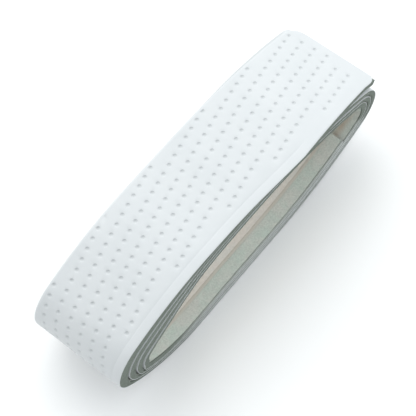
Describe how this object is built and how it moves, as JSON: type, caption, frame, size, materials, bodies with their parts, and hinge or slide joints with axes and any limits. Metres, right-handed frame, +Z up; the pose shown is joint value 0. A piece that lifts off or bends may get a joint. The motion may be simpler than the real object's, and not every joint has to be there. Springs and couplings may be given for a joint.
{
  "type": "grip tape roll",
  "caption": "Perforated white cushion grip tape for a racket handle, wound on itself and pressed into a hollow lens-shaped roll with a loose outer end.",
  "frame": {"origin": "under the middle of the roll, on the surface it rests on", "axes": "+X along the roll towards the free outer end of the tape, +Y across the tape, +Z up"},
  "size_m": [0.1012, 0.027, 0.0363],
  "materials": {
    "skin": "soft matt white polyurethane film with a fine grain",
    "cushion": "grey-green closed-cell foam, matt, cut edges",
    "backing": "fine grey-green nonwoven cloth, matt",
    "adhesive": "thin pale yellow pressure-sensitive adhesive, slightly glossy",
    "liner": "beige release paper, faint sheen"
  },
  "bodies": {
    "roll": {"roll_skin": "skin", "roll_cushion": "cushion", "roll_backing": "backing", "roll_adhesive": "adhesive", "roll_liner": "liner"},
    "tail_a": {"tail_a_skin": "skin", "tail_a_cushion": "cushion", "tail_a_backing": "backing", "tail_a_adhesive": "adhesive", "tail_a_liner": "liner"},
    "tail_b": {"tail_b_skin": "skin", "tail_b_cushion": "cushion", "tail_b_backing": "backing", "tail_b_adhesive": "adhesive", "tail_b_liner": "liner"},
    "tail_c": {"tail_c_skin": "skin", "tail_c_cushion": "cushion", "tail_c_backing": "backing", "tail_c_adhesive": "adhesive", "tail_c_liner": "liner"}
  },
  "joints": [
    {"name": "tail_lift", "type": "hinge", "parent": "roll", "child": "tail_a", "pos_m": [0.00398, 0, 0.03623], "axis": [0, -1, 0], "range_deg": [0, 30]},
    {"name": "tail_bend_b", "type": "hinge", "parent": "tail_a", "child": "tail_b", "pos_m": [0.0194, 0, 0.03464], "axis": [0, -1, 0], "range_deg": [0, 30]},
    {"name": "tail_bend_c", "type": "hinge", "parent": "tail_b", "child": "tail_c", "pos_m": [0.03428, 0, 0.03102], "axis": [0, -1, 0], "range_deg": [0, 30]}
  ],
  "couplings": [
    {"joint": "tail_bend_b", "follows": "tail_lift", "ratio": 1},
    {"joint": "tail_bend_c", "follows": "tail_lift", "ratio": 1}
  ]
}
